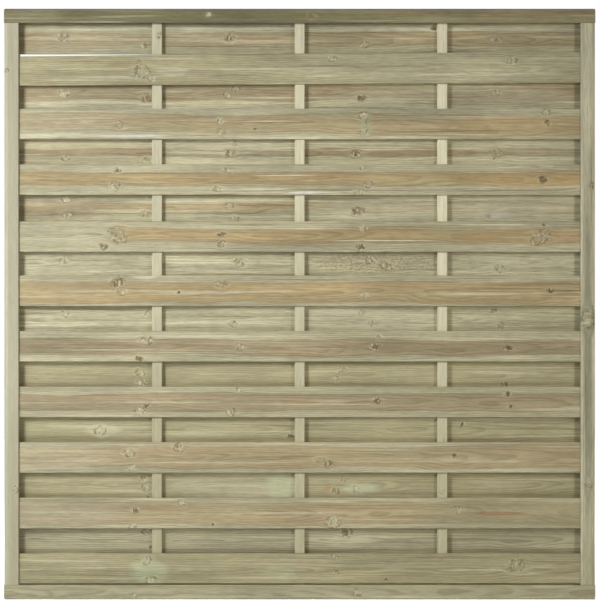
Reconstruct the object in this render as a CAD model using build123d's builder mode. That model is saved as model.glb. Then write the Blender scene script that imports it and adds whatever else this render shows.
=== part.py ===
import os
from math import ceil

from build123d import *

# Fence panel: two staggered layers of slats on upright battens, held in a grooved frame.
# It stands on the XY plane, centred on the origin, with its front facing -Y. Millimetres.

# Frame of four square members
panel_width = 1800.0
panel_height = 1800.0
frame_face = 45.0
frame_depth = 45.0
frame_outer_round = 15.0
frame_inner_round = 2.5
rail_end_chamfer = 1.5

# Groove round the inside of the frame, and the stub tenons of the stiles
groove_depth = 12.0
groove_clearance = 0.5
mortise_shoulder = 12.0
tenon_clearance = 0.25
tenon_end_gap = 1.0

# Slats, and the battens between their two layers
slat_width = 93.0
slat_thickness = 8.0
slat_round = 2.0
slat_end_gap = 2.0
slat_lap = 8.0
batten_width = 30.0
batten_thickness = 16.0
batten_chamfer = 1.0
batten_end_gap = 1.0
batten_count = 3

# Setting out of the rows: under the lowest front slat, over the highest back slat, and between
# that slat and the front slat below it
bottom_gap = 2.0
top_slat_seat = 1.0
top_lap = 1.0

# The uppermost front slat was fixed crooked, low at its left end, and the fourth one straight but low
crooked_drop = 1.5
crooked_skew = 10.0
low_slat_drop = 4.5

# Brads that hold the slats to the battens
brad_side = 1.6
brad_set = 0.5
brad_cover = 3.5
brad_edge = 20.0

# Pins driven from behind through the rails and the stiles' tenons, two at each corner
pin_side = 2.5
pin_spacing = 10.0
pin_set = 0.5
pin_cover = 3.0

# Sizes that follow from those above
half_width = panel_width / 2
opening_width = panel_width - 2 * frame_face
opening_top = panel_height - frame_face
stile_length = panel_height - 2 * frame_face
groove_width = batten_thickness + 2 * (slat_thickness + groove_clearance)
slat_length = opening_width + 2 * (groove_depth - slat_end_gap)
slat_face = batten_thickness / 2 + slat_thickness
batten_length = stile_length + 2 * groove_depth - batten_end_gap
batten_pitch = (opening_width + batten_width) / (batten_count + 1)
batten_places = [(number - (batten_count - 1) / 2) * batten_pitch for number in range(batten_count)]
brad_length = slat_thickness + batten_thickness - brad_set - brad_cover
tenon_thickness = groove_width - 2 * tenon_clearance
tenon_length = groove_depth - tenon_end_gap
tenon_outside = half_width - mortise_shoulder - tenon_clearance
tenon_inside = half_width - frame_face + groove_depth
tenon_width = tenon_outside - tenon_inside
tenon_middle = (tenon_outside + tenon_inside) / 2
pin_head = frame_depth / 2 - pin_set
pin_length = pin_head + tenon_thickness / 2 - pin_cover
pin_height = frame_face - tenon_length / 2

# Heights of the slats' bottom edges, with as many rows as keep each slat's laps
lowest_front = frame_face + bottom_gap
highest_back = opening_top + top_slat_seat - slat_width
highest_front = highest_back + top_lap - slat_width
rows = 1 + ceil((highest_front - lowest_front) / (2 * (slat_width - slat_lap)))
row_pitch = (highest_front - lowest_front) / (rows - 1)
front_heights = [lowest_front + row * row_pitch for row in range(rows)]
back_heights = [height + row_pitch / 2 for height in front_heights[:-1]] + [highest_back]

# Drop and skew of the unevenly fixed front slats, by row from the top
uneven_rows = {1: (crooked_drop, crooked_skew), 4: (low_slat_drop, 0.0)}

# Slats of each layer as (name, bottom edge, skew) from the lowest up; -1 is in front, 1 behind
front_slats = []
for row, height in enumerate(front_heights):
    drop, skew = uneven_rows.get(rows - row, (0.0, 0.0))
    front_slats.append((f"front_slat_{row + 1:02d}", height - drop, skew))
back_slats = [(f"back_slat_{row + 1:02d}", height, 0.0) for row, height in enumerate(back_heights)]
layers = {-1: front_slats, 1: back_slats}

from_head = (Align.CENTER, Align.CENTER, Align.MIN)


def round_member(member, along, outward):
    """Round the long edges of a frame member in the making, more on its outer side than inside."""
    fillet(member.edges().filter_by(along).sort_by(outward)[:2], frame_inner_round)
    fillet(member.edges().filter_by(along).sort_by(outward)[-2:], frame_outer_round)


def finish(part, name):
    """Label a finished piece and write it."""
    part.label = name
    export_step(part, f"parts/{name}.step")


def slat_plane(layer, bottom, skew):
    """Plane of a slat's outer face; skew is how far the right end stands above the left."""
    return Plane(
        origin=(0, layer * slat_face, bottom + slat_width / 2),
        x_dir=(slat_length, 0, skew),
        z_dir=(0, layer, 0),
    )


def brad_places(layer, slats, columns):
    """Brad heads of some slats: two on each batten in columns, with +Z pointing into the wood."""
    head = layer * (slat_face - brad_set)
    reach = slat_width / 2 - brad_edge
    return [
        Location(Plane(
            origin=(x, head, bottom + slat_width / 2 + x * skew / slat_length + side * reach),
            z_dir=(0, -layer, 0),
        ))
        for _, bottom, skew in slats
        for x in columns
        for side in (-1, 1)
    ]


def pin_places(sides, heights):
    """Corner pin heads on the panel's back, with +Z pointing into the wood."""
    return [
        Location(Plane(origin=(side * tenon_middle + step * pin_spacing / 2, pin_head, z), z_dir=(0, -1, 0)))
        for side in sides
        for z in heights
        for step in (-1, 1)
    ]


os.makedirs("parts", exist_ok=True)

# Rails: full width, grooved on the inside, with the groove stopped short of the ends
both_sides = (-1, 1)
pin_heights = (pin_height, panel_height - pin_height)
rail_ends = (("bottom_rail", 0, -1), ("top_rail", panel_height, 1))
for (name, height, out), z in zip(rail_ends, pin_heights):
    outer_face = Plane(origin=(0, 0, height), x_dir=(1, 0, 0), z_dir=(0, 0, out))
    with BuildPart() as rail:
        with BuildSketch(outer_face):
            Rectangle(panel_width, frame_depth)
        extrude(amount=-frame_face)
        round_member(rail, Axis.X, Axis((0, 0, 0), (0, 0, out)))
        chamfer(rail.faces().filter_by(Axis.X).edges(), rail_end_chamfer)
        with BuildSketch(outer_face.offset(-frame_face)):
            Rectangle(panel_width - 2 * mortise_shoulder, groove_width)
        extrude(amount=groove_depth, mode=Mode.SUBTRACT)
        with Locations(*pin_places(both_sides, [z])):
            Box(pin_side, pin_side, 2 * pin_length, mode=Mode.SUBTRACT)
    finish(rail.part, name)

# Stiles: between the rails, grooved on the inside, with a pinned stub tenon at each end
for side, name in ((-1, "left_stile"), (1, "right_stile")):
    with BuildPart() as stile:
        with BuildSketch(Plane.XY.offset(frame_face)):
            with Locations((side * (half_width - frame_face / 2), 0)):
                Rectangle(frame_face, frame_depth)
        extrude(amount=stile_length)
        round_member(stile, Axis.Z, Axis((0, 0, 0), (side, 0, 0)))
        with BuildSketch(Plane.XY.offset(frame_face)):
            with Locations((side * (opening_width + groove_depth) / 2, 0)):
                Rectangle(groove_depth, groove_width)
        extrude(amount=stile_length, mode=Mode.SUBTRACT)
        with BuildSketch(Plane.XY.offset(frame_face - tenon_length)):
            with Locations((side * tenon_middle, 0)):
                Rectangle(tenon_width, tenon_thickness)
        extrude(amount=stile_length + 2 * tenon_length)
        with Locations(*pin_places([side], pin_heights)):
            Box(pin_side, pin_side, 2 * pin_length, mode=Mode.SUBTRACT)
    finish(stile.part, name)

# Battens: upright between the two layers, standing in the rails' grooves, with holes for the brads
for number, x in enumerate(batten_places):
    with BuildPart() as batten:
        with BuildSketch(Plane.XY.offset(frame_face - groove_depth)):
            with Locations((x, 0)):
                Rectangle(batten_width, batten_thickness)
        extrude(amount=batten_length)
        chamfer(batten.edges().filter_by(Axis.Z), batten_chamfer)
        for layer, slats in layers.items():
            with Locations(*brad_places(layer, slats, [x])):
                Box(brad_side, brad_side, brad_length, align=from_head, mode=Mode.SUBTRACT)
    finish(batten.part, f"batten_{number + 1}")

# Slats: rounded on their long edges, with holes for the brads
for layer, slats in layers.items():
    for slat_row in slats:
        name, bottom, skew = slat_row
        face = slat_plane(layer, bottom, skew)
        with BuildPart() as slat:
            with BuildSketch(face):
                Rectangle(slat_length, slat_width)
            extrude(amount=-slat_thickness)
            fillet(slat.edges().filter_by(Axis(face.origin, face.x_dir)), slat_round)
            with Locations(*brad_places(layer, [slat_row], batten_places)):
                Box(brad_side, brad_side, 2 * slat_thickness, mode=Mode.SUBTRACT)
        finish(slat.part, name)

# Brads: one group of separate pins for each layer
for layer, name in ((-1, "front_brads"), (1, "back_brads")):
    with BuildPart() as pins:
        with Locations(*brad_places(layer, layers[layer], batten_places)):
            Box(brad_side, brad_side, brad_length, align=from_head)
    finish(pins.part, name)

# Corner pins: one group
with BuildPart() as corner_pins:
    with Locations(*pin_places(both_sides, pin_heights)):
        Box(pin_side, pin_side, pin_length, align=from_head)
finish(corner_pins.part, "corner_pins")
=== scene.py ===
import math
from dataclasses import dataclass
from types import SimpleNamespace

import bpy
import numpy as np
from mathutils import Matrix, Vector, noise


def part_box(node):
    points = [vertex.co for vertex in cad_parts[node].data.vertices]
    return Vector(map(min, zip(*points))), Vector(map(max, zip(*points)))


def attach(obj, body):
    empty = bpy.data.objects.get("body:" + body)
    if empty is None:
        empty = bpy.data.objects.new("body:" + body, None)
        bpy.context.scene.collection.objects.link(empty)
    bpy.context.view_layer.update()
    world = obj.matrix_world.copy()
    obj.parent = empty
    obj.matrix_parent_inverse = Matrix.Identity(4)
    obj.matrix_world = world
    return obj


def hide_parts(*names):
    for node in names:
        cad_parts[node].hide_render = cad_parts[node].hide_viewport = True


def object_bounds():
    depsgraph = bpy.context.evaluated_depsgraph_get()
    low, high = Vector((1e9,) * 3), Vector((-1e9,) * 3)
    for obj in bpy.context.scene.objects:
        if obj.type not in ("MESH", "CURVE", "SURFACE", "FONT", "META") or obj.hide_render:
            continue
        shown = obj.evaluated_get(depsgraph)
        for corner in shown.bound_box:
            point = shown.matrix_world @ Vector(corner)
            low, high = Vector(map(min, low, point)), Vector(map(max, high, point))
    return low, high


# Looks of the fence panel: pressure-treated softwood, board by board, in soft studio light.
# Places are metres in the CAD frame: x to the right, y away from the camera, z up.

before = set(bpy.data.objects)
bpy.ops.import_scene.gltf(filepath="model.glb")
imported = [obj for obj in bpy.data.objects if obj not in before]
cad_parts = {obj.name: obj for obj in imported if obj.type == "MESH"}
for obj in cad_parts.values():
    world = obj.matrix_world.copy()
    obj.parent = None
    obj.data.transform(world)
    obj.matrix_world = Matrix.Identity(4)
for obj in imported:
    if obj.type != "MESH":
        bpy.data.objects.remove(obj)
cad_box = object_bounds()

MM = 0.001

# Camera, straight in front of the panel
CAMERA_DISTANCE = 7.0
CAMERA_HEIGHT = 0.9121
CAMERA_SIDE = 0.001
VIEW_WIDTH = 1.8255
SENSOR = 36.0

# Lamps as (name, place, aim, width, height, watts, beam in degrees, colour), three in front, one behind
LAMPS = [
    ("key", (-2.30, -2.67, 2.35), (-0.45, 0.0, 0.80), 0.8, 0.8, 18.3, 75.0, (1.0, 1.0, 1.0)),
    ("window", (-2.60, -1.80, 1.00), (-0.3, 0.0, 0.9), 2.0, 2.0, 19.0, 180.0, (0.90, 0.98, 1.16)),
    ("fill", (2.90, -3.80, 1.60), (0.4, 0.0, 0.9), 0.8, 1.6, 8.2, 60.0, (1.04, 1.0, 0.93)),
    ("back", (1.2, 3.4, 2.4), (0.0, 0.0, 0.8), 2.0, 2.0, 45.0, 110.0, (1.0, 0.98, 0.95)),
]

# Light from all round
AMBIENT = 0.085

# Floor: its side, where it begins to turn white off the panel and where it is white, and its light before
FLOOR_SIDE = 16.0
FLOOR_WHITE_FROM = 0.2
FLOOR_WHITE_BY = 1.6
FLOOR_LIFT = 0.5


def srgb(red, green, blue):
    """Linear colour of sRGB bytes."""
    shares = [value / 255 for value in (red, green, blue)]
    return (*[s / 12.92 if s <= 0.04045 else ((s + 0.055) / 1.055) ** 2.4 for s in shares], 1.0)


# Tones of treated timber
SAP = srgb(178, 172, 141)
TAN = srgb(171, 156, 120)
ORANGE = srgb(173, 154, 113)
BROWN = srgb(158, 145, 114)
OLIVE = srgb(166, 159, 124)
PALE = srgb(206, 200, 170)
DARK = srgb(112, 98, 66)
PINK = srgb(176, 142, 114)
GREEN = srgb(160, 163, 128)
GREY = srgb(166, 162, 140)
KNOT_PALE = srgb(184, 180, 146)
KNOT_BROWN = srgb(122, 96, 64)
END_GRAIN = srgb(150, 140, 108)
WHITISH = srgb(208, 205, 196)
CREAM = srgb(226, 219, 187)
MOSS = srgb(128, 128, 102)
AMBER = srgb(166, 138, 92)
MINT = srgb(180, 187, 150)
RUST = srgb(152, 108, 78)
KNOT_EYE = srgb(94, 72, 46)
UMBER = srgb(144, 130, 100)

# Tones of steel and floor
STEEL_DARK = srgb(92, 90, 84)
STEEL_PALE = srgb(148, 146, 138)
FLOOR_DARK = srgb(240, 240, 240)
FLOOR_PALE = srgb(245, 245, 245)

# Noise cells per metre along the grain, across the face and through the board
PATCH_GRAIN = (2.8, 13.0, 13.0)
WANDER_GRAIN = (2.6, 9.0, 9.0)
BAND_GRAIN = (2.0, 40.0, 40.0)
STREAK_GRAIN = (4.4, 165.0, 165.0)
LINE_GRAIN = (1.8, 115.0, 115.0)
TINT_GRAIN = (2.4, 30.0, 30.0)
FLECK_GRAIN = (26.0, 230.0, 230.0)
FIBRE_GRAIN = (26.0, 700.0, 700.0)
RAGGED_GRAIN = (55.0, 55.0, 55.0)
SPECK_GRAIN = (130.0, 210.0, 210.0)
SPANGLE_GRAIN = (900.0, 900.0, 900.0)
FLOOR_GRAIN = (3.0, 3.0, 3.0)

# Rough outlines of knots and marks
RAGGED_SIZE = 24 * MM

# How far the noises shift the pith, its depth, the growth rings and the heartwood's border
PITH_WANDER = 34 * MM
DEPTH_WANDER = 40 * MM
RING_WANDER = 6 * MM
HEART_WANDER = 9 * MM
HEART_FRAY = 5 * MM

# Where the heartwood is gone and where it is full, beyond its half width, and half the length over which
# it begins, in millimetres
HEART_GONE = 9
HEART_FULL = 3
HEART_START = 50

# Shares by which the grain lightens and darkens a board with a figure of 1
STREAK_SHADE = 0.07
FLECK_SHADE = 0.14
BAND_SHADE = 0.12
PATCH_SHADE = 0.14

# Step between the boards in the noises' space, so that no two look alike
SEED_STEP = 3.7

# Slat meshes, in millimetres: rounding, spacing of their lines, dimples over the brads, and relief
SLAT_WIDTH = 93.0
SLAT_ROUND = 2.0
ROUND_STEPS = 4
STATION_STEP = 16.0
KNOT_STEP = 4.0
LINE_STEP = 4.5
LINE_ROOM = 1.5
BRAD_EDGE = 20.0
PIT_INNER = 1.0
PIT_OUTER = 2.8
PIT_DEPTH = 0.9
CUP = 0.4
EDGE_WAVE = 0.3
EDGE_WAVE_LENGTH = 160.0
EDGE_ZONE = 30.0
SPLIT_HALF = 1.1
SPLIT_DEPTH = 3.5
CHIP_JAG = 9.0
BATTEN_ROOM = 20.0
NEARLY = 0.1

# Relief of knots, as shares of their radius
KNOT_COLLAR = 0.03
COLLAR_PLACE = 1.2
COLLAR_SPREAD = 0.45
KNOT_DISH = 0.035
DISH_SPREAD = 0.75
KNOT_TILT = 0.05
KNOT_REACH = 2

# Shares of a chip's depth: the least of its ragged depth, how much that swings, and how far it goes in
CHIP_LEAST = 0.25
CHIP_SWING = 1.5
CHIP_INWARD = 0.6

# Bend of the crooked slat's narrowing, the outward share of a face's normal, and a sharp edge's angle
TAPER_BEND = 0.6
FACING_OUT = 0.99
SHARP_ANGLE = 35


@dataclass
class Knot:
    """A knot by its place from the board's middle and its radius, in millimetres.

    Its tone is pale at 0 and dark at 1. Its stretch is its length over its width, and its turn the slant
    of that length, in radians.
    """

    along: float
    across: float
    radius: float
    tone: float = 0.5
    stretch: float = 1.25
    turn: float = 0.0


@dataclass
class Mark:
    """A long stain or streak by its middle, half length and half width, in millimetres."""

    along: float
    across: float
    half_length: float
    half_width: float
    colour: tuple
    strength: float = 0.5


@dataclass
class Chip:
    """A torn stretch of a slat's outer arris, on the upper edge where side is 1, in millimetres."""

    start: float
    end: float
    side: int
    depth: float


@dataclass
class Split:
    """A crack along the grain, in millimetres from the board's middle."""

    start: float
    end: float
    across: float


@dataclass
class Timber:
    """How a board grew and was sawn, in millimetres from its middle.

    heart is half the width of the heartwood, which begins at heart_from along the board. The pith lies at
    some depth, and lean and pitch are its slopes sideways and inwards, in millimetres per metre. Growth
    rings are a ring apart, figure is the strength of the grain, and rough adds dark fibres. On a slat,
    lower and upper push its edges out, and taper narrows its left end.
    """

    heart: float = 0.0
    pith: float = 0.0
    lean: float = 0.0
    depth: float = 14.0
    pitch: float = 16.0
    ring: float = 5.0
    ring_strength: float = 0.35
    heart_from: float = -2000.0
    core: tuple = TAN
    sap: tuple = SAP
    shade: float = 1.0
    figure: float = 0.92
    rough: float = 0.0
    knots: tuple = ()
    marks: tuple = ()
    mottles: tuple = ()
    chips: tuple = ()
    splits: tuple = ()
    lower: float = 0.0
    upper: float = 0.0
    taper: float = 0.0


class Graph:
    """Short calls for adding shader nodes to one tree."""

    def __init__(self, tree):
        self.tree = tree
        tree.nodes.clear()

    def add(self, kind, **settings):
        node = self.tree.nodes.new(f"ShaderNode{kind}")
        for setting, value in settings.items():
            setattr(node, setting, value)
        return node

    def plug(self, socket, value):
        if isinstance(value, bpy.types.NodeSocket):
            self.tree.links.new(value, socket)
        else:
            socket.default_value = value

    def fill(self, node, values, output=0):
        for socket, value in zip(node.inputs, values):
            self.plug(socket, value)
        return node.outputs[output]

    def math(self, operation, *values):
        return self.fill(self.add("Math", operation=operation), values)

    def fade(self, value, start, end, low=0.0, high=1.0):
        """Smooth step of a value from low at start to high at end."""
        node = self.add("MapRange", interpolation_type="SMOOTHSTEP")
        return self.fill(node, (value, start, end, low, high))

    def vector(self, x, y, z):
        return self.fill(self.add("CombineXYZ"), (x, y, z))

    def split(self, vector):
        return self.fill(self.add("SeparateXYZ"), (vector,)).node.outputs

    def length(self, x, y, z=0.0):
        return self.fill(self.add("VectorMath", operation="LENGTH"), (self.vector(x, y, z),), "Value")

    def noise(self, place, cells, detail=2.0, roughness=0.5, output="Fac"):
        stretched = self.fill(self.add("VectorMath", operation="MULTIPLY"), (place, cells))
        node = self.add("TexNoise")
        self.plug(node.inputs["Vector"], stretched)
        self.plug(node.inputs["Scale"], 1.0)
        self.plug(node.inputs["Detail"], detail)
        self.plug(node.inputs["Roughness"], roughness)
        return node.outputs[output]

    def bump(self, height, strength, distance):
        node = self.add("Bump")
        self.plug(node.inputs["Strength"], strength)
        self.plug(node.inputs["Distance"], distance)
        self.plug(node.inputs["Height"], height)
        return node.outputs[0]

    def mix(self, share, first, second, blend="MIX"):
        node = self.add("Mix", data_type="RGBA", blend_type=blend)
        self.plug(node.inputs[0], share)
        self.plug(node.inputs[6], first)
        self.plug(node.inputs[7], second)
        return node.outputs[2]


def new_group(name, inputs, outputs):
    """Graph of an empty node group with number sockets, and the values that come in."""
    tree = bpy.data.node_groups.new(name, "ShaderNodeTree")
    for socket in inputs:
        tree.interface.new_socket(socket, in_out="INPUT", socket_type="NodeSocketFloat")
    for socket in outputs:
        tree.interface.new_socket(socket, in_out="OUTPUT", socket_type="NodeSocketFloat")
    graph = Graph(tree)
    return graph, tree.nodes.new("NodeGroupInput").outputs[:len(inputs)]


def close_group(graph, values):
    for socket, value in zip(graph.tree.nodes.new("NodeGroupOutput").inputs, values):
        graph.plug(socket, value)
    return graph.tree


def knot_group():
    """Node group of one knot: how far it pushes the grain aside, and its core, rim and swirl."""
    inputs = ("Along", "Across", "Knot along", "Knot across", "Radius", "Stretch", "Turn")
    graph, values = new_group("knot", inputs, ("Push", "Core", "Rim", "Swirl"))
    along, across, knot_along, knot_across, radius, stretch, turn = values
    from_along = graph.math("DIVIDE", graph.math("SUBTRACT", along, knot_along), radius)
    offset = graph.math("SUBTRACT", across, knot_across)
    from_across = graph.math("DIVIDE", offset, radius)
    turned = graph.add("VectorRotate", rotation_type="Z_AXIS")
    graph.plug(turned.inputs["Vector"], graph.vector(from_along, from_across, 0.0))
    graph.plug(turned.inputs["Angle"], turn)
    lengthways, sideways, _ = graph.split(turned.outputs[0])
    ring = graph.length(graph.math("DIVIDE", lengthways, stretch), sideways)
    stretched = graph.math("MULTIPLY", from_along, 0.3)
    reach = graph.length(stretched, graph.math("MULTIPLY", from_across, 0.45))
    push = graph.math("MULTIPLY", offset, graph.fade(reach, 1.0, 0.2, 0.0, 0.7))
    core = graph.fade(ring, 1.05, 0.75)
    rim = graph.math("MULTIPLY", graph.fade(ring, 0.7, 1.0), graph.fade(ring, 1.4, 1.05))
    swirl = graph.fade(reach, 1.0, 0.25)
    return close_group(graph, (push, core, rim, swirl))


def mark_group():
    """Node group of one long stain: its share at a place."""
    inputs = ("Along", "Across", "Mark along", "Mark across", "Half length", "Half width")
    graph, values = new_group("mark", inputs, ("Share",))
    along, across, mark_along, mark_across, half_length, half_width = values
    lengthways = graph.math("DIVIDE", graph.math("SUBTRACT", along, mark_along), half_length)
    sideways = graph.math("DIVIDE", graph.math("SUBTRACT", across, mark_across), half_width)
    return close_group(graph, (graph.fade(graph.length(lengthways, sideways), 1.15, 0.55),))


KNOT_TREE = knot_group()
MARK_TREE = mark_group()


def end_graph(graph, colour, roughness, normal, specular=0.3):
    """Close a material's graph with its shader."""
    shader = graph.add("BsdfPrincipled")
    graph.plug(shader.inputs["Base Color"], colour)
    graph.plug(shader.inputs["Roughness"], roughness)
    graph.plug(shader.inputs["Normal"], normal)
    graph.plug(shader.inputs["Specular IOR Level"], specular)
    output = graph.add("OutputMaterial")
    graph.plug(output.inputs["Surface"], shader.outputs[0])
    return shader


def new_material(name):
    material = bpy.data.materials.new(name)
    material.use_nodes = True
    return material, Graph(material.node_tree)


def board_space(graph, upright, middle, skew):
    """Distances along, across and through a board from its middle."""
    parts = graph.split(graph.add("TexCoord").outputs["Object"])
    x, y, z = (graph.math("SUBTRACT", part, place) for part, place in zip(parts, middle))
    along, across = (z, x) if upright else (x, z)
    if skew:
        across = graph.math("SUBTRACT", across, graph.math("MULTIPLY", along, skew))
    return along, across, y


def roughen(graph, along, across, seeded):
    """The place on the face, shaken a little, and a slow noise of the same pattern."""
    shaken = graph.split(graph.noise(seeded, RAGGED_GRAIN, 3.0, 0.6, "Color"))
    steps = [graph.math("MULTIPLY", graph.math("SUBTRACT", part, 0.5), RAGGED_SIZE) for part in shaken[:2]]
    return graph.math("ADD", along, steps[0]), graph.math("ADD", across, steps[1]), shaken[2]


def add_knots(graph, knots, along, across):
    """Push, core, rim, swirl and darkness of all of a board's knots together."""
    found = SimpleNamespace(push=0.0, core=0.0, rim=0.0, swirl=0.0, dark=0.0)
    for knot in knots:
        node = graph.add("Group", node_tree=KNOT_TREE)
        place = (knot.along * MM, knot.across * MM, knot.radius * MM)
        graph.fill(node, (along, across, *place, knot.stretch, knot.turn))
        found.push = graph.math("ADD", found.push, node.outputs["Push"])
        found.core = graph.math("MAXIMUM", found.core, node.outputs["Core"])
        found.rim = graph.math("MAXIMUM", found.rim, node.outputs["Rim"])
        found.swirl = graph.math("MAXIMUM", found.swirl, node.outputs["Swirl"])
        tone = graph.math("MULTIPLY", node.outputs["Core"], knot.tone)
        found.dark = graph.math("MAXIMUM", found.dark, tone)
    return found


def grain_noises(graph, place):
    """The noises that draw a board's grain, from wide patches to single fibres."""
    return SimpleNamespace(
        patch=graph.noise(place, PATCH_GRAIN),
        wander=graph.math("SUBTRACT", graph.noise(place, WANDER_GRAIN), 0.5),
        band=graph.noise(place, BAND_GRAIN),
        streak=graph.noise(place, STREAK_GRAIN, 3.0, 0.6),
        line=graph.noise(place, LINE_GRAIN, 1.0),
        tint=graph.noise(place, TINT_GRAIN),
        fleck=graph.noise(place, FLECK_GRAIN, 2.0, 0.6),
        fibre=graph.noise(place, FIBRE_GRAIN, 2.0),
        speck=graph.noise(place, SPECK_GRAIN, 1.0),
    )


def growth_rings(graph, timber, along, bent, through, grain):
    """Distance from the pith across the face, and the share of dark late wood."""
    from_pith = graph.math("SUBTRACT", bent, timber.pith * MM)
    from_pith = graph.math("SUBTRACT", from_pith, graph.math("MULTIPLY", along, timber.lean * MM))
    from_pith = graph.math("ADD", from_pith, graph.math("MULTIPLY", grain.wander, PITH_WANDER))
    below = graph.math("SUBTRACT", through, graph.math("MULTIPLY", along, timber.pitch * MM))
    below = graph.math("SUBTRACT", below, timber.depth * MM)
    below = graph.math("ADD", below, graph.math("MULTIPLY", grain.wander, DEPTH_WANDER))
    radius = graph.length(0.0, from_pith, below)
    radius = graph.math("ADD", radius, graph.math("MULTIPLY", grain.band, RING_WANDER))
    growth = graph.math("FRACT", graph.math("DIVIDE", radius, timber.ring * MM))
    late = graph.math("MULTIPLY", graph.fade(growth, 0.3, 0.9), graph.fade(growth, 1.0, 0.93))
    return from_pith, late


def heartwood(graph, timber, along, from_pith, grain):
    """Sapwood with a ragged band of heartwood, darker along its border."""
    wander = graph.math("MULTIPLY", grain.band, HEART_WANDER)
    edge = graph.math("ADD", graph.math("ABSOLUTE", from_pith), wander)
    edge = graph.math("ADD", edge, graph.math("MULTIPLY", grain.streak, HEART_FRAY))
    heart = graph.fade(edge, (timber.heart + HEART_GONE) * MM, (timber.heart + HEART_FULL) * MM)
    begins = [(timber.heart_from + side * HEART_START) * MM for side in (-1, 1)]
    start = graph.fade(along, *begins)
    heart = graph.math("MULTIPLY", heart, start)
    colour = graph.mix(heart, timber.sap, timber.core)
    border = graph.math("MULTIPLY", heart, graph.fade(heart, 1.0, 0.4))
    colour = graph.mix(graph.math("MULTIPLY", border, 0.8), colour, DARK)
    pink = graph.math("MULTIPLY", heart, graph.fade(grain.tint, 0.58, 0.74, 0.0, 0.28))
    return graph.mix(pink, colour, PINK)


def mark_share(graph, mark, along, across):
    """Share of a stain at a place on the face."""
    node = graph.add("Group", node_tree=MARK_TREE)
    place = (mark.along, mark.across, mark.half_length, mark.half_width)
    return graph.fill(node, (along, across, *(size * MM for size in place)))


def paint_marks(graph, colour, marks, along, across, grain):
    """Stains and streaks, broken up by the grain."""
    broken = graph.fade(grain.streak, 0.3, 0.55, 0.35, 1.0)
    for mark in marks:
        share = graph.math("MULTIPLY", mark_share(graph, mark, along, across), broken)
        share = graph.math("MULTIPLY", share, mark.strength)
        colour = graph.mix(share, colour, mark.colour)
    return colour


def paint_mottles(graph, colour, mottles, along, across, grain):
    """Rough patches of dark and pale specks."""
    for mottle in mottles:
        share = graph.math("MULTIPLY", mark_share(graph, mottle, along, across), mottle.strength)
        dark = graph.math("MULTIPLY", share, graph.fade(grain.speck, 0.5, 0.36))
        colour = graph.mix(dark, colour, mottle.colour)
        pale = graph.math("MULTIPLY", share, graph.fade(grain.speck, 0.56, 0.68))
        colour = graph.mix(pale, colour, PALE)
    return colour


def paint_knots(graph, colour, found, slow, grain):
    """Knots: a ragged core with a dark eye, a rim that is dark on one side, partly as painted shade, and
    pale and dark specks, partly painted highlight and painted shade of rough relief.
    """
    pale = graph.math("MULTIPLY", found.swirl, graph.fade(grain.fleck, 0.4, 0.65, 0.05, 0.4))
    colour = graph.mix(pale, colour, KNOT_PALE)
    # Partly painted shade: the rim darkened on one side
    rim = graph.math("MULTIPLY", found.rim, graph.fade(slow, 0.58, 0.42, 0.0, 0.7))
    colour = graph.mix(rim, colour, DARK)
    core = graph.math("MULTIPLY", found.core, graph.fade(slow, 0.35, 0.55, 0.25, 0.8))
    colour = graph.mix(core, colour, graph.mix(found.dark, KNOT_PALE, KNOT_BROWN))
    eye = graph.fade(found.dark, 0.5, 0.85, 0.0, 0.8)
    eye = graph.math("MULTIPLY", eye, graph.fade(slow, 0.38, 0.55, 0.3, 1.0))
    colour = graph.mix(eye, colour, KNOT_EYE)
    # Pale and dark specks over the knot, partly painted highlight and painted shade of its rough relief
    speckled = graph.math("MAXIMUM", found.rim, graph.math("POWER", found.swirl, 2.0))
    speckled = graph.math("MAXIMUM", found.core, speckled)
    light = graph.math("MULTIPLY", speckled, graph.fade(grain.speck, 0.55, 0.68, 0.0, 0.65))
    colour = graph.mix(light, colour, PALE)
    shadow = graph.math("MULTIPLY", speckled, graph.fade(grain.speck, 0.43, 0.32, 0.0, 0.65))
    return graph.mix(shadow, colour, DARK)


def paint_grain(graph, colour, timber, late, grain):
    """A green tint, late wood, and pale and dark lines along the grain."""
    figure = timber.figure
    colour = graph.mix(graph.fade(grain.tint, 0.44, 0.28, 0.0, 0.4 * figure), colour, GREEN)
    colour = graph.mix(graph.math("MULTIPLY", late, timber.ring_strength), colour, DARK)
    colour = graph.mix(graph.fade(grain.line, 0.6, 0.72, 0.0, 0.5 * figure), colour, PALE)
    return graph.mix(graph.fade(grain.line, 0.38, 0.26, 0.0, 0.55 * figure), colour, DARK)


def shade_grain(graph, colour, timber, grain):
    """Lighter and darker streaks, flecks, bands and patches, and the board's own shade."""
    streak, fleck, band, patch = (
        share * timber.figure for share in (STREAK_SHADE, FLECK_SHADE, BAND_SHADE, PATCH_SHADE)
    )
    fine = graph.math("ADD", graph.fade(grain.streak, 0.25, 0.75, -streak, streak),
                      graph.fade(grain.fleck, 0.25, 0.75, -fleck, fleck))
    shade = graph.math("ADD", fine, graph.fade(grain.band, 0.3, 0.7, 1 - band, 1 + band))
    shade = graph.math("MULTIPLY", shade, graph.fade(grain.patch, 0.3, 0.7, 1 - patch, 1 + patch))
    shade = graph.math("MULTIPLY", shade, timber.shade)
    return graph.mix(1.0, colour, graph.vector(shade, shade, shade), "MULTIPLY")


def paint_ends(graph, colour, upright):
    """End grain on the faces that cross the grain."""
    normal = graph.split(graph.add("NewGeometry").outputs["True Normal"])[2 if upright else 0]
    end = graph.fade(graph.math("ABSOLUTE", normal), 0.6, 0.9, 0.0, 0.6)
    return graph.mix(end, colour, END_GRAIN)


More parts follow.
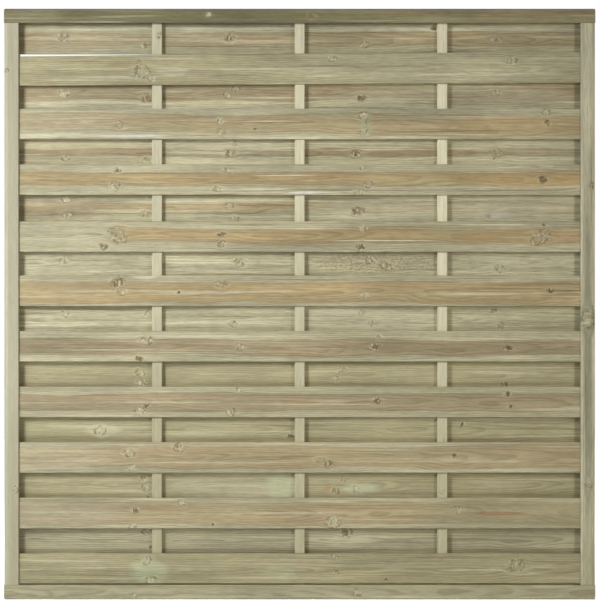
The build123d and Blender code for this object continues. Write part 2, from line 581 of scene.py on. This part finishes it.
def wood(name, timber, seed, middle, upright=False, skew=0.0):
    """Procedural timber: rings round a pith, heartwood and sapwood, streaks, stains and knots."""
    material, graph = new_material(name)
    along, across, through = board_space(graph, upright, middle, skew)
    shifted = graph.math("ADD", along, seed)
    rough_along, rough_across, slow = roughen(graph, along, across, graph.vector(shifted, across, through))
    found = add_knots(graph, timber.knots, rough_along, rough_across)
    bent = graph.math("SUBTRACT", across, found.push)
    grain = grain_noises(graph, graph.vector(shifted, bent, through))
    from_pith, late = growth_rings(graph, timber, along, bent, through, grain)

    colour = timber.sap
    if timber.heart:
        colour = heartwood(graph, timber, along, from_pith, grain)
    colour = paint_grain(graph, colour, timber, late, grain)
    colour = paint_marks(graph, colour, timber.marks, rough_along, bent, grain)
    colour = shade_grain(graph, colour, timber, grain)
    colour = paint_mottles(graph, colour, timber.mottles, rough_along, bent, grain)
    if timber.knots:
        colour = paint_knots(graph, colour, found, slow, grain)
    colour = graph.mix(graph.fade(grain.fibre, 0.42, 0.3, 0.0, 0.25 + timber.rough), colour, DARK)
    colour = paint_ends(graph, colour, upright)

    fibres = graph.math("MULTIPLY", grain.fibre, 0.4)
    height = graph.math("ADD", graph.math("MULTIPLY", grain.streak, 0.6), fibres)
    height = graph.math("ADD", height, graph.math("MULTIPLY", late, 0.25))
    roughness = graph.fade(grain.streak, 0.2, 0.8, 0.58, 0.8)
    end_graph(graph, colour, roughness, graph.bump(height, 0.5, 0.6 * MM))
    return material


def steel():
    """Dull galvanised steel of the brads and pins."""
    material, graph = new_material("galvanised_steel")
    place = graph.add("TexCoord").outputs["Object"]
    spangle = graph.noise(place, SPANGLE_GRAIN, 3.0)
    colour = graph.mix(spangle, STEEL_DARK, STEEL_PALE)
    normal = graph.bump(spangle, 0.3, 0.1 * MM)
    shader = end_graph(graph, colour, graph.fade(spangle, 0.3, 0.7, 0.45, 0.65), normal, 0.5)
    shader.inputs["Metallic"].default_value = 0.9
    return material


def painted_lap_shade(strength):
    """Painted shade: a back slat's darker lower margin, under the lap of the front slat below, along the
    whole board.
    """
    return Mark(0, -40, 3000, 18, DARK, strength)


# The slats from the uppermost down, a front one and the back one over it by turns, then the frame and
# the battens
TIMBER = {
    "front_slat_10": Timber(
        sap=OLIVE, depth=4, pitch=14, ring=6, ring_strength=0.4, shade=1.03, taper=3.5,
        knots=(Knot(-480, -6, 17, 0.4), Knot(-452, -27, 9, 0.2), Knot(98, 31, 9, 0.3),
               Knot(644, 21, 12, 0.45), Knot(-492, 21, 8, 0.6)),
        marks=(Mark(520, -20, 275, 4, PALE, 0.6), Mark(520, -33, 275, 8, GREY, 0.5),
               Mark(-388, -8, 55, 16, PALE, 0.5), Mark(820, -5, 40, 14, DARK, 0.35),
               Mark(420, 0, 620, 60, PALE, 0.3), Mark(65, -22, 57, 2, CREAM, 0.7),
               Mark(-540, 16, 60, 9, KNOT_BROWN, 0.4))),
    # Its shade of 0.93 is partly painted shade from the top rail above it, and the pale band along its top
    # is pale sapwood with painted light over the rail's shadow
    "back_slat_10": Timber(
        figure=1.05, heart=21, pith=0, core=TAN, shade=0.93, upper=4.5,
        knots=(Knot(-721, 7, 11, 0.4), Knot(-473, -20, 9, 0.7), Knot(-214, 4, 11, 0.7),
               Knot(198, -17, 10, 0.4), Knot(601, -2, 11, 0.5), Knot(411, 32, 8, 0.9)),
        marks=(Mark(263, 21, 147, 1.8, DARK, 0.7), Mark(-760, 0, 210, 60, BROWN, 0.4),
               Mark(0, 29, 900, 7, PALE, 0.7))),
    "front_slat_09": Timber(
        heart=29, pith=0, lean=-10, core=TAN,
        knots=(Knot(-550, -4, 10, 0.5), Knot(-241, 8, 9, 0.3), Knot(-241, -22, 9, 0.4),
               Knot(-135, -16, 4, 1.0), Knot(195, 23, 10, 0.2), Knot(198, -25, 10, 0.2),
               Knot(754, 5, 7, 0.9), Knot(751, 36, 10, 0.1)),
        marks=(Mark(0, 41, 900, 6, GREY, 0.5), Mark(-760, 0, 220, 40, GREY, 0.3),
               Mark(-708, -8, 40, 5, PINK, 0.6), Mark(92, 28, 92, 9, GREEN, 0.7),
               Mark(193, 22, 4, 12, DARK, 0.7), Mark(0, -41, 900, 5, PALE, 0.45),
               Mark(700, 0, 280, 32, AMBER, 0.4), Mark(-505, -36, 105, 5, WHITISH, 0.8),
               Mark(-700, -34, 180, 9, PALE, 0.6), Mark(-80, 8, 115, 2, CREAM, 0.7),
               Mark(200, 0, 24, 44, GREEN, 0.7), Mark(204, 12, 4, 18, DARK, 0.5))),
    "back_slat_09": Timber(
        figure=1.05, heart=28, pith=14, core=BROWN, shade=1.05,
        knots=(Knot(-721, 9, 10, 0.1), Knot(-467, -3, 12, 0.7), Knot(-196, 23, 10, 0.4),
               Knot(-220, 3, 8, 0.5), Knot(189, -3, 10, 0.8), Knot(598, 9, 10, 0.4)),
        marks=(Mark(500, -10, 450, 50, GREY, 0.35), Mark(-640, -22, 260, 16, PALE, 0.5))),
    "front_slat_08": Timber(
        heart=22, pith=1, core=ORANGE,
        knots=(Knot(-556, 28, 8, 0.7), Knot(-565, -21, 13, 0.15), Knot(-223, 25, 8, 0.4),
               Knot(-251, -27, 7, 0.4), Knot(186, 40, 9, 0.3), Knot(211, -15, 10, 0.35),
               Knot(177, -39, 9, 0.3), Knot(739, 1, 10, 0.8)),
        marks=(Mark(-167, -29, 168, 3.5, PALE, 0.7), Mark(748, 40, 28, 5, PALE, 0.9),
               Mark(650, 38, 70, 3, PALE, 0.6), Mark(690, 0, 270, 30, AMBER, 0.4),
               Mark(30, -39, 70, 4, WHITISH, 0.8), Mark(-40, 13, 105, 2, CREAM, 0.8))),
    "back_slat_08": Timber(
        figure=1.05, heart=12, pith=-1, core=UMBER, shade=1.07,
        knots=(Knot(-718, -20, 8, 0.1), Knot(-467, -23, 9, 0.5), Knot(-214, -2, 11, 0.7),
               Knot(171, -5, 11, 0.8), Knot(604, -5, 12, 0.5), Knot(-202, 29, 8, 0.3)),
        marks=(Mark(-760, 0, 210, 60, BROWN, 0.4), Mark(-220, 0, 230, 60, PALE, 0.35),
               Mark(720, 0, 250, 60, PALE, 0.25))),
    "front_slat_07": Timber(
        heart=23, pith=4, core=ORANGE, heart_from=-565, shade=0.96,
        knots=(Knot(-556, 5, 18, 0.45, 1.5, 0.5), Knot(-596, -32, 10, 0.8), Knot(-238, 8, 9, 0.85),
               Knot(-238, -23, 9, 0.7), Knot(195, 26, 8, 0.2), Knot(186, -32, 10, 0.85),
               Knot(733, -4, 18, 0.55, 1.6, -0.7), Knot(741, 36, 5, 1.0)),
        marks=(Mark(240, -12, 180, 2, CREAM, 0.8), Mark(35, 24, 141, 2.2, CREAM, 0.7),
               Mark(810, 2, 60, 12, PINK, 0.4), Mark(600, 36, 130, 3, PALE, 0.8),
               Mark(620, 4, 230, 26, AMBER, 0.4))),
    "back_slat_07": Timber(
        figure=1.05, heart=14, pith=0, core=TAN, shade=1.02,
        knots=(Knot(-715, 27, 10, 0.0), Knot(-712, -22, 10, 0.05), Knot(-476, -19, 9, 0.4),
               Knot(-214, 6, 9, 0.4), Knot(-199, -34, 9, 0.5), Knot(177, -9, 14, 0.7),
               Knot(573, -27, 6, 0.4)),
        marks=(Mark(610, -24, 38, 8, WHITISH, 0.95), Mark(690, -22, 70, 3, PALE, 0.7),
               Mark(450, -5, 480, 50, GREY, 0.4), Mark(-760, 0, 200, 50, BROWN, 0.5),
               Mark(720, 0, 240, 60, PALE, 0.25))),
    "front_slat_06": Timber(
        heart=33, pith=-6, core=ORANGE,
        knots=(Knot(-553, 25, 13, 0.75, 1.7, -0.6), Knot(-367, -6, 5, 0.9), Knot(-238, 19, 12, 0.6),
               Knot(201, -12, 9, 0.15), Knot(763, 0, 8, 0.9), Knot(-544, -6, 9, 0.3)),
        marks=(Mark(-472, 41, 46, 5, PALE, 0.9), Mark(245, -39, 61, 6, PINK, 0.5),
               Mark(-760, 0, 190, 40, BROWN, 0.4)),
        splits=(Split(757, 852, 1),)),
    "back_slat_06": Timber(
        figure=1.05, rough=0.3, shade=1.06,
        knots=(Knot(-718, 7, 9, 0.3), Knot(-183, 1, 12, 0.4), Knot(212, 8, 10, 0.6, 1.8),
               Knot(262, -8, 12, 0.55, 1.6, 0.4), Knot(400, 4, 8, 0.5), Knot(611, -17, 10, 0.0)),
        marks=(Mark(-760, 0, 230, 60, PALE, 0.3), Mark(730, 0, 300, 60, PALE, 0.35),
               Mark(185, 0, 165, 30, BROWN, 0.5)),
        mottles=(Mark(200, 0, 175, 36, DARK, 0.42), Mark(395, 2, 60, 30, DARK, 0.3))),
    "front_slat_05": Timber(
        heart=23, pith=-3, core=BROWN,
        knots=(Knot(-467, 17, 12, 0.4), Knot(-489, -38, 8, 0.8), Knot(-183, -1, 10, 0.4),
               Knot(244, 29, 6, 0.8), Knot(232, -1, 10, 0.75), Knot(635, -4, 9, 0.9)),
        marks=(Mark(330, -3, 330, 17, DARK, 0.3),)),
    # The lower back slats carry painted shade along their lower margin, under the lap of the front slat
    # below
    "back_slat_05": Timber(
        figure=1.05, depth=3, shade=1.04,
        knots=(Knot(-718, 12, 8, 0.3), Knot(-458, 12, 9, 0.3), Knot(-202, -16, 10, 0.3),
               Knot(189, 15, 8, 0.4), Knot(220, -16, 8, 0.3), Knot(592, 24, 6, 0.9),
               Knot(617, -22, 8, 0.6)),
        marks=(painted_lap_shade(0.35), Mark(230, 0, 250, 60, PALE, 0.3))),
    "front_slat_04": Timber(
        figure=0.8, heart=26, pith=0, core=BROWN,
        knots=(Knot(-489, -30, 11, 0.1), Knot(-467, -15, 7, 0.9), Knot(-186, 37, 7, 0.5),
               Knot(-208, -30, 10, 0.15), Knot(238, 3, 9, 0.75), Knot(635, 25, 7, 0.8),
               Knot(641, -12, 7, 0.9)),
        marks=(Mark(0, 38, 900, 7, GREEN, 0.5),)),
    "back_slat_04": Timber(
        figure=0.75, sap=OLIVE, depth=3, shade=1.05,
        knots=(Knot(-486, 4, 9, 0.3), Knot(-483, -26, 10, 0.5), Knot(131, 10, 9, 0.4),
               Knot(110, -17, 7, 0.5), Knot(626, -33, 8, 0.9)),
        marks=(painted_lap_shade(0.5),)),
    "front_slat_03": Timber(
        figure=0.8, heart=36, pith=3, core=TAN,
        knots=(Knot(-367, 32, 13, 0.0), Knot(-519, 14, 12, 0.3), Knot(-513, -32, 8, 0.2),
               Knot(88, -20, 11, 0.7), Knot(61, -7, 9, 0.5), Knot(470, 8, 6, 0.8)),
        marks=(Mark(525, -40, 325, 5, PALE, 0.6), Mark(-770, 0, 230, 50, PALE, 0.3)),
        chips=(Chip(-392, -338, 1, 2.0),)),
    "back_slat_03": Timber(
        figure=0.75, sap=OLIVE, shade=1.05,
        knots=(Knot(-608, -4, 12, 0.1), Knot(-25, -19, 8, 0.9), Knot(494, 15, 6, 0.8)),
        marks=(painted_lap_shade(0.5), Mark(-600, -2, 60, 20, PALE, 0.4))),
    "front_slat_02": Timber(
        figure=0.8, heart=36, pith=0, core=TAN,
        knots=(Knot(-501, 9, 8, 0.7), Knot(-510, -40, 7, 0.1), Knot(-266, -34, 5, 0.8),
               Knot(101, -27, 15, 0.05, 1.35), Knot(479, 12, 11, 0.4), Knot(-360, 31, 8, 0.1)),
        marks=(Mark(-430, 43, 100, 4, PALE, 0.8), Mark(-760, 0, 240, 50, GREY, 0.4),
               Mark(650, 0, 330, 60, OLIVE, 0.6), Mark(604, -1, 95, 6, RUST, 0.85)),
        chips=(Chip(-530, -331, 1, 2.2),)),
    "back_slat_02": Timber(
        figure=0.75, sap=OLIVE, depth=2, shade=1.06,
        knots=(Knot(-480, 19, 8, 0.5), Knot(-470, -8, 10, 0.2), Knot(-464, -39, 7, 0.7),
               Knot(137, 19, 9, 0.4), Knot(107, -17, 9, 0.6), Knot(171, -14, 9, 0.1)),
        marks=(painted_lap_shade(0.5), Mark(700, 0, 330, 60, DARK, 0.15),
               Mark(-190, 0, 240, 60, PALE, 0.3), Mark(-55, -4, 62, 42, MINT, 0.6),
               Mark(185, -12, 66, 16, MINT, 0.7), Mark(84, -12, 15, 9, AMBER, 0.7))),
    "front_slat_01": Timber(
        figure=0.8, sap=OLIVE, depth=5, ring=6, ring_strength=0.4, lower=-1.5,
        knots=(Knot(-467, 26, 12, 0.1), Knot(-452, -35, 12, 0.3), Knot(107, 38, 7, 0.4),
               Knot(113, -8, 6, 0.7), Knot(262, -32, 4, 1.0), Knot(662, 12, 18, 0.45)),
        marks=(Mark(535, -4, 137, 3, PALE, 0.7), Mark(800, 0, 50, 20, DARK, 0.3),
               Mark(-458, -6, 62, 44, MINT, 0.7), Mark(-60, -10, 60, 16, MINT, 0.4),
               Mark(676, -14, 62, 3, PALE, 0.7))),
    "back_slat_01": Timber(
        figure=0.75, depth=2, ring=6, ring_strength=0.45, shade=0.95,
        knots=(Knot(-473, 24, 8, 0.8), Knot(-452, -22, 6, 0.9), Knot(143, 24, 14, 0.75)),
        marks=(painted_lap_shade(0.5), Mark(700, 0, 420, 60, DARK, 0.15),
               Mark(150, -2, 80, 24, PALE, 0.4))),
    # The olive band along its top edge is painted light on the rounding that faces up, and the tan over
    # its right half is painted light where the lamps fall off to the right
    "top_rail": Timber(
        sap=srgb(119, 115, 84),
        knots=(Knot(-277, 5, 7, 0.0), Knot(36, -3, 8, 0.7)),
        marks=(Mark(565, -4, 46, 6, ORANGE, 0.5), Mark(-820, 0, 110, 30, OLIVE, 0.45),
               Mark(640, 0, 560, 40, TAN, 0.3), Mark(0, 17, 1200, 7, OLIVE, 0.35))),
    # The pale band along its lower edge is painted light from the floor's bounce
    "bottom_rail": Timber(
        sap=srgb(168, 163, 132), figure=0.7,
        knots=(Knot(178, 0, 9, 0.0), Knot(-508, -12, 8, 0.0)),
        marks=(Mark(0, -18, 1200, 9, PALE, 0.6), Mark(0, 12, 1200, 8, OLIVE, 0.4))),
    # The pale band along its outer side is painted light on the rounding that faces the lamps on the left
    "left_stile": Timber(
        sap=srgb(174, 169, 143), ring_strength=0.05, figure=0.3,
        knots=(Knot(709, -14, 7, 0.6), Knot(-564, 12, 8, 0.3)),
        marks=(Mark(233, -18, 45, 1.5, DARK, 0.8), Mark(0, -18, 1200, 8, PALE, 0.5),
               Mark(-640, 9, 420, 12, TAN, 0.35), Mark(-640, -10, 420, 9, MINT, 0.4))),
    # The pale line along its inner edge is a painted highlight on the arris lit from the left, and the
    # cream band along its outer side is painted light on the rounding lit from the right
    "right_stile": Timber(
        sap=srgb(180, 175, 147), ring_strength=0.15, figure=0.8,
        knots=(Knot(356, 13, 8, 0.4), Knot(-46, -1, 20, 0.2), Knot(-549, 2, 9, 0.4)),
        marks=(Mark(760, 0, 330, 30, PALE, 0.95), Mark(-160, 0, 560, 13, MOSS, 0.8),
               Mark(-830, 0, 150, 30, OLIVE, 0.4), Mark(0, -19, 1100, 4, PALE, 0.6),
               Mark(0, 24, 1100, 13, CREAM, 0.95))),
    "batten_1": Timber(
        sap=srgb(189, 183, 154), ring_strength=0.05, figure=0.35,
        knots=(Knot(820, 7, 7, 0.5),),
        marks=(Mark(660, 0, 420, 30, PALE, 0.5), Mark(-700, 0, 650, 30, OLIVE, 0.75))),
    "batten_2": Timber(
        sap=srgb(194, 188, 158), ring_strength=0.05, figure=0.35,
        marks=(Mark(750, 0, 700, 30, CREAM, 0.6), Mark(-800, 0, 600, 30, OLIVE, 0.45))),
    "batten_3": Timber(
        sap=srgb(206, 200, 170), ring_strength=0.05, figure=0.35,
        knots=(Knot(-414, 6, 5, 0.4), Knot(-569, 0, 7, 0.2)),
        marks=(Mark(750, 0, 800, 30, CREAM, 1.0), Mark(-800, 0, 600, 30, OLIVE, 0.6))),
}
BATTENS = ("batten_1", "batten_2", "batten_3")
UPRIGHTS = ("left_stile", "right_stile", *BATTENS)
FIXINGS = ("front_brads", "back_brads", "corner_pins")

# The crooked slat, and how far its right end stands above its left over its length, in millimetres
CROOKED = "front_slat_10"
CROOKED_RISE = 10.0
SLAT_LENGTH = 1730.0


def middle_of(name):
    low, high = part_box(name)
    return (low + high) / 2


def spaced(start, end, step):
    """Even places from start to end, none further apart than step."""
    return np.linspace(start, end, math.ceil((end - start) / step) + 1)


def set_out(places, marks):
    """Places in order with all marks, leaving out those too near another."""
    kept = sorted(marks)
    for place in sorted(places):
        if all(abs(place - other) >= LINE_ROOM for other in kept):
            kept.append(place)
    return np.array(sorted(kept))


def about(middles, *reaches):
    """Places on both sides of each middle."""
    return [middle + side * reach for middle in middles for reach in reaches for side in (-1, 1)]


def slat_stations(timber, half_length, brads):
    """Places along a slat for the lines of its mesh, closer together at knots and brads."""
    places = list(spaced(-half_length, half_length, STATION_STEP))
    for knot in timber.knots:
        reach = KNOT_REACH * knot.radius * knot.stretch
        places.extend(spaced(knot.along - reach, knot.along + reach, KNOT_STEP))
    for torn in (*timber.chips, *timber.splits):
        places.extend(spaced(torn.start, torn.end, KNOT_STEP))
    inside = [place for place in places if abs(place) < half_length - LINE_ROOM]
    return set_out(inside, [-half_length, half_length, *about(brads, PIT_INNER, PIT_OUTER)])


def slat_profile(timber, half_width, half_thickness, brads):
    """Cross-section of a slat as rows of across, outward, and the outward normal's two shares."""
    flat = half_width - SLAT_ROUND
    marks = [-flat, flat, *about(brads, PIT_INNER, PIT_OUTER)]
    for split in timber.splits:
        marks.extend((split.across - SPLIT_HALF, split.across, split.across + SPLIT_HALF))
    outer = set_out(spaced(-flat, flat, LINE_STEP), marks)
    inner = spaced(-flat, flat, LINE_STEP)
    rows = [(across, half_thickness, 0.0, 1.0) for across in outer]
    for side, out, first, last in ((1, 1, 90, 0), (1, -1, 0, -90)):
        rows.extend(round_corner(flat * side, (half_thickness - SLAT_ROUND) * out, first, last))
    rows.extend((across, -half_thickness, 0.0, -1.0) for across in inner[-2:0:-1])
    for side, out, first, last in ((-1, -1, 270, 180), (-1, 1, 180, 90)):
        rows.extend(round_corner(flat * side, (half_thickness - SLAT_ROUND) * out, first, last))
    return np.array(rows[:-1])


def round_corner(across, outward, first, last):
    """Rows of one rounded corner, from the first angle to the last, without a row that the face has."""
    rows = []
    for step in range(ROUND_STEPS + 1):
        angle = math.radians(first + (last - first) * step / ROUND_STEPS)
        share = (math.cos(angle), math.sin(angle))
        if step or first != 90:
            rows.append((across + SLAT_ROUND * share[0], outward + SLAT_ROUND * share[1], *share))
    return rows


def relief(timber, along, across):
    """How far a slat's faces stand out, with a collar and a dish at each knot."""
    height = -CUP * (across / (SLAT_WIDTH / 2)) ** 2 * np.ones_like(along)
    for number, knot in enumerate(timber.knots):
        turn, side = math.cos(knot.turn), math.sin(knot.turn)
        from_along = (along - knot.along) / knot.radius
        from_across = (across - knot.across) / knot.radius
        lengthways = (from_along * turn - from_across * side) / knot.stretch
        sideways = from_along * side + from_across * turn
        reach = np.hypot(lengthways, sideways)
        height += KNOT_COLLAR * knot.radius * np.exp(-((reach - COLLAR_PLACE) / COLLAR_SPREAD) ** 2)
        height -= KNOT_DISH * knot.radius * np.exp(-((reach / DISH_SPREAD) ** 2))
        slope = lengthways if number % 2 else -sideways
        height += KNOT_TILT * knot.radius * slope * np.exp(-reach ** 2)
    return height


def wave(along, seed):
    """Slow unevenness of an edge, from -1 to 1."""
    return np.array([noise.noise(Vector((place / EDGE_WAVE_LENGTH, seed, 0.5))) for place in along])


def tear(chip, along):
    """Ragged depth of a chip along the slat."""
    middle, half = (chip.start + chip.end) / 2, (chip.end - chip.start) / 2
    within = np.clip(1 - ((along - middle) / half) ** 2, 0, 1)
    jags = [abs(noise.noise(Vector((place / CHIP_JAG, chip.depth, 2.5)))) for place in along]
    return chip.depth * np.sqrt(within) * np.clip(CHIP_LEAST + CHIP_SWING * np.array(jags), 0, 1)


def slat_points(timber, seed, half_length, half_thickness, columns):
    """Grid of a slat's points along, across and outward from its middle, in millimetres."""
    brads = [side * (SLAT_WIDTH / 2 - BRAD_EDGE) for side in (-1, 1)]
    stations = slat_stations(timber, half_length, columns)
    across, outward, edgewise, facing = slat_profile(timber, SLAT_WIDTH / 2, half_thickness, brads).T
    along = np.repeat(stations[:, None], len(across), axis=1)
    across = np.repeat(across[None, :], len(stations), axis=0)
    rise = relief(timber, along, across)
    near_column = np.min([abs(along - column) for column in columns], axis=0)
    rise = np.where((facing < 0) & (near_column < BATTEN_ROOM), np.minimum(rise, 0), rise)
    outer = facing > FACING_OUT
    in_pit = np.min([abs(across - brad) for brad in brads], axis=0) <= PIT_INNER + NEARLY
    rise -= PIT_DEPTH * (outer & in_pit & (near_column <= PIT_INNER + NEARLY))
    for split in timber.splits:
        opening = np.clip((along - split.start) / (split.end - split.start), 0, 1)
        rise -= SPLIT_DEPTH * np.sqrt(opening) * (outer & (abs(across - split.across) < NEARLY))
    waves = {side: EDGE_WAVE * wave(stations, seed + side)[:, None] for side in (-1, 1)}
    across = across + edgewise * np.where(edgewise > 0, waves[1], waves[-1])
    outward = outward + rise * facing
    for chip in timber.chips:
        torn = tear(chip, stations)[:, None] * ((edgewise * chip.side > 0) & (facing > 0))
        across = across - chip.side * torn * CHIP_INWARD
        outward = outward - torn
    return along, across, outward


def trim(timber, along, across, first_batten):
    """How far points near a slat's long edges lie beyond the plain slat's."""
    overhang = np.clip((first_batten - along) / (first_batten - along.min()), 0, 1)
    room = SLAT_WIDTH / 2 - EDGE_ZONE
    above = np.clip((across - EDGE_ZONE) / room, 0, 1)
    below = np.clip((-across - EDGE_ZONE) / room, 0, 1)
    return above * (timber.upper - timber.taper * overhang ** TAPER_BEND) - below * timber.lower


def slat_mesh(name, points, layer, middle, skew):
    """Mesh of a slat from its grid of points, closed at both ends."""
    along, across, outward = points
    rows, columns = along.shape
    places = np.stack((along, layer * outward, across + along * skew), axis=-1) * MM + np.array(middle)
    index = np.arange(rows * columns).reshape(rows, columns)
    following = np.roll(index, -1, axis=1)
    corners = np.stack((index[:-1], index[1:], following[1:], following[:-1]), axis=-1)
    faces = corners.reshape(-1, 4).tolist()
    faces.extend((index[0].tolist(), index[-1, ::-1].tolist()))
    if layer > 0:
        faces = [face[::-1] for face in faces]
    mesh = bpy.data.meshes.new(name)
    mesh.from_pydata(places.reshape(-1, 3).tolist(), [], faces)
    mesh.polygons.foreach_set("use_smooth", [True] * len(faces))
    mesh.set_sharp_from_angle(angle=math.radians(SHARP_ANGLE))
    return mesh


def add_slat(name, timber, seed, finish, skew):
    """A slat with its knots, dimples, chips and splits as real relief, in place of the plain one."""
    low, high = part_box(name)
    layer = -1 if name.startswith("front") else 1
    half_length, half_thickness = (high.x - low.x) / 2 / MM, (high.y - low.y) / 2 / MM
    columns = [middle_of(batten).x / MM for batten in BATTENS]
    along, across, outward = slat_points(timber, seed, half_length, half_thickness, columns)
    points = (along, across + trim(timber, along, across, columns[0]), outward)
    mesh = slat_mesh(f"grained_{name}", points, layer, middle_of(name), skew)
    mesh.materials.append(finish)
    piece = bpy.data.objects.new(f"grained_{name}", mesh)
    bpy.context.scene.collection.objects.link(piece)
    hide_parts(name)
    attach(piece, "root")


def dress(node, material):
    """Give a CAD node its finish."""
    for slot in node.material_slots:
        slot.material = material


def dress_panel():
    for number, (name, timber) in enumerate(TIMBER.items()):
        skew = CROOKED_RISE / SLAT_LENGTH if name == CROOKED else 0.0
        seed = SEED_STEP * number
        finish = wood(f"timber_{name}", timber, seed, middle_of(name), name in UPRIGHTS, skew)
        if "slat" in name:
            add_slat(name, timber, seed, finish, skew)
        else:
            dress(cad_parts[name], finish)
    metal = steel()
    for name in FIXINGS:
        dress(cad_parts[name], metal)


def aim(thing, target):
    """Turn a lamp or camera to look at a point."""
    thing.rotation_euler = (Vector(target) - thing.location).to_track_quat("-Z", "Y").to_euler()


def add_lamps():
    for name, place, target, width, height, watts, beam, colour in LAMPS:
        lamp = bpy.data.lights.new(name, "AREA")
        lamp.shape = "RECTANGLE"
        lamp.size = width
        lamp.size_y = height
        lamp.energy = watts
        lamp.spread = math.radians(beam)
        lamp.color = colour
        thing = bpy.data.objects.new(name, lamp)
        bpy.context.scene.collection.objects.link(thing)
        thing.location = place
        aim(thing, target)


def seen_directly(graph):
    """1 for rays that show the background, as seen, mirrored or seen through glass."""
    rays = graph.add("LightPath")
    seen = graph.math("MAXIMUM", rays.outputs["Is Camera Ray"], rays.outputs["Is Glossy Ray"])
    return graph.math("MAXIMUM", seen, rays.outputs["Is Transmission Ray"])


def add_world():
    """Even light from all round, and a white background."""
    world = bpy.data.worlds.new("studio")
    world.use_nodes = True
    graph = Graph(world.node_tree)
    light = graph.add("Background")
    strength = graph.fade(seen_directly(graph), 0.0, 1.0, AMBIENT, 1.0)
    graph.plug(light.inputs["Strength"], strength)
    graph.plug(light.inputs["Color"], (1.0, 1.0, 1.0, 1.0))
    graph.plug(graph.add("OutputWorld").inputs["Surface"], light.outputs[0])
    bpy.context.scene.world = world


def add_floor():
    """Pale floor that keeps the panel's shadow near it and turns white further off."""
    mesh = bpy.data.meshes.new("floor")
    half = FLOOR_SIDE / 2
    corners = [(-half, -half, 0.0), (half, -half, 0.0), (half, half, 0.0), (-half, half, 0.0)]
    mesh.from_pydata(corners, [], [(0, 1, 2, 3)])
    floor = bpy.data.objects.new("floor", mesh)
    bpy.context.scene.collection.objects.link(floor)
    material, graph = new_material("floor")
    place = graph.add("TexCoord").outputs["Object"]
    off = graph.math("ABSOLUTE", graph.split(place)[1])
    lift = graph.fade(off, FLOOR_WHITE_FROM, FLOOR_WHITE_BY, FLOOR_LIFT, 1.0)
    tone = graph.noise(place, FLOOR_GRAIN)
    colour = graph.mix(tone, FLOOR_DARK, FLOOR_PALE)
    shader = graph.add("BsdfPrincipled")
    graph.plug(shader.inputs["Base Color"], colour)
    graph.plug(shader.inputs["Roughness"], 0.9)
    graph.plug(shader.inputs["Emission Color"], (1.0, 1.0, 1.0, 1.0))
    graph.plug(shader.inputs["Emission Strength"], graph.math("MULTIPLY", seen_directly(graph), lift))
    graph.plug(graph.add("OutputMaterial").inputs["Surface"], shader.outputs[0])
    mesh.materials.append(material)


def add_camera():
    data = bpy.data.cameras.new("camera")
    data.sensor_width = SENSOR
    data.lens = SENSOR * CAMERA_DISTANCE / VIEW_WIDTH
    camera = bpy.data.objects.new("camera", data)
    bpy.context.scene.collection.objects.link(camera)
    front = cad_box[0].y
    camera.location = (CAMERA_SIDE, front - CAMERA_DISTANCE, CAMERA_HEIGHT)
    aim(camera, (CAMERA_SIDE, front, CAMERA_HEIGHT))
    bpy.context.scene.camera = camera


dress_panel()
add_lamps()
add_world()
add_floor()
add_camera()
bpy.context.scene.view_settings.view_transform = "Standard"
